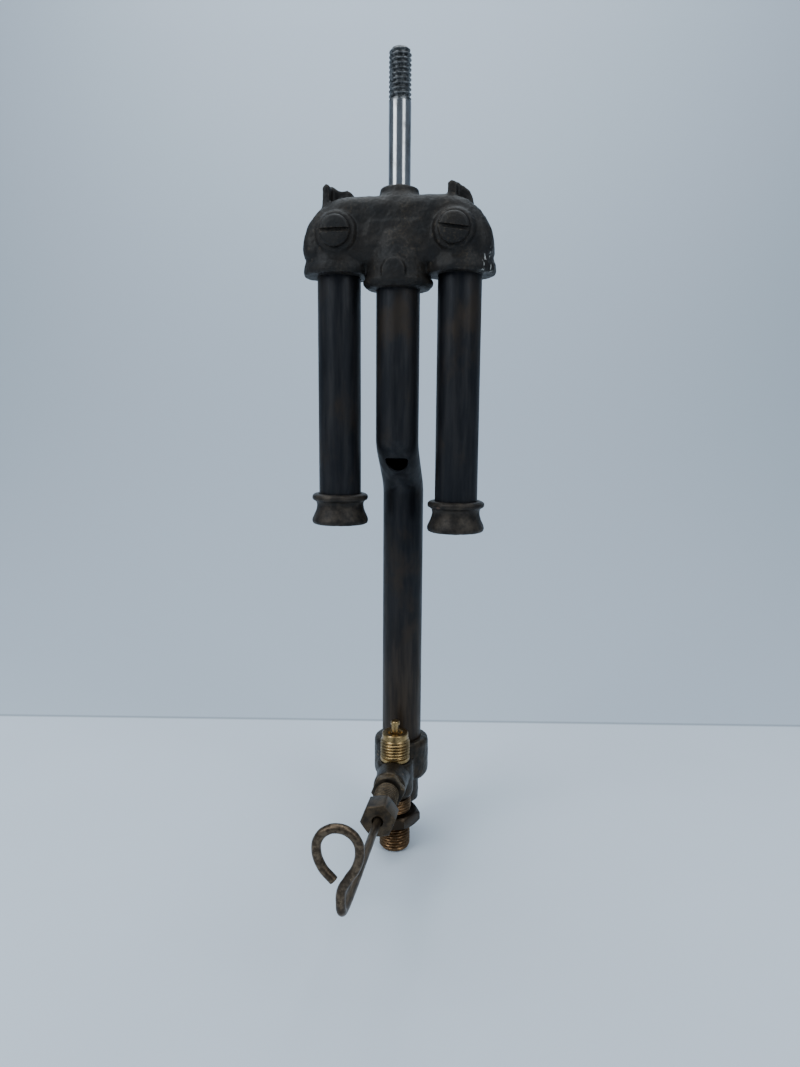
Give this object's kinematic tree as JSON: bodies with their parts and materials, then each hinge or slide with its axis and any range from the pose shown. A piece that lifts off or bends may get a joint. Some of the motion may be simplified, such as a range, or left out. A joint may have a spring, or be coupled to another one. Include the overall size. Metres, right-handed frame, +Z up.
{
  "type": "pressure lantern burner assembly",
  "caption": "Burner assembly of a pressure lantern: cast manifold on a central mixing tube, hanging burner tubes with caps, and a valve block with a wire cleaner lever.",
  "frame": {"origin": "centre of the inlet fitting's open end, on the inlet axis", "axes": "+Z up along the inlet axis towards the stud, -Y along the lever towards its loop, +X across the two burner tubes"},
  "size_m": [0.0566, 0.0969, 0.2373],
  "materials": {
    "cast_iron": "sand-cast, blackened by heat",
    "plug_iron": "blackened, worn at the slot",
    "blued_tube": "heat-blackened tube",
    "cap_brass": "dull oxidised brass",
    "gauze": "woven wire",
    "steel": "bright turned steel",
    "bright_brass": "bright machined brass",
    "copper_brass": "reddish machined brass",
    "dark_brass": "dark tarnished brass",
    "nut_brass": "dark brass with bright worn edges",
    "bronze_wire": "brown bronze wire",
    "packing": "compressed graphite packing"
  },
  "bodies": {
    "burner": {"manifold_casting": "cast_iron", "ventilator_stud": "steel", "left_burner_tube": "blued_tube", "right_burner_tube": "blued_tube", "left_burner_cap": "cap_brass", "right_burner_cap": "cap_brass", "left_cap_gauze": "gauze", "right_cap_gauze": "gauze", "left_cleanout_plug": "plug_iron", "right_cleanout_plug": "plug_iron", "mixing_tube": "blued_tube", "valve_block": "dark_brass", "generator_nipple": "bright_brass", "packing_bonnet": "dark_brass", "packing_nut": "nut_brass", "packing_ring": "packing", "packing_washer": "dark_brass", "inlet_fitting": "copper_brass"},
    "lever": {"cleaner_lever": "bronze_wire", "eccentric_crank": "steel"},
    "stem": {"cleaner_stem": "bright_brass"}
  },
  "joints": [
    {"name": "lever_turn", "type": "hinge", "parent": "burner", "child": "lever", "pos_m": [0, 0, 0.0251], "axis": [0, -1, 0], "range_deg": [-90, 90]},
    {"name": "stem_slide", "type": "slide", "parent": "burner", "child": "stem", "axis": [0, 0, 1], "range_m": [-0.0007, 0.0007]}
  ],
  "couplings": [
    {"joint": "lever_turn", "follows": "stem_slide", "rad_per_m": 2244}
  ]
}
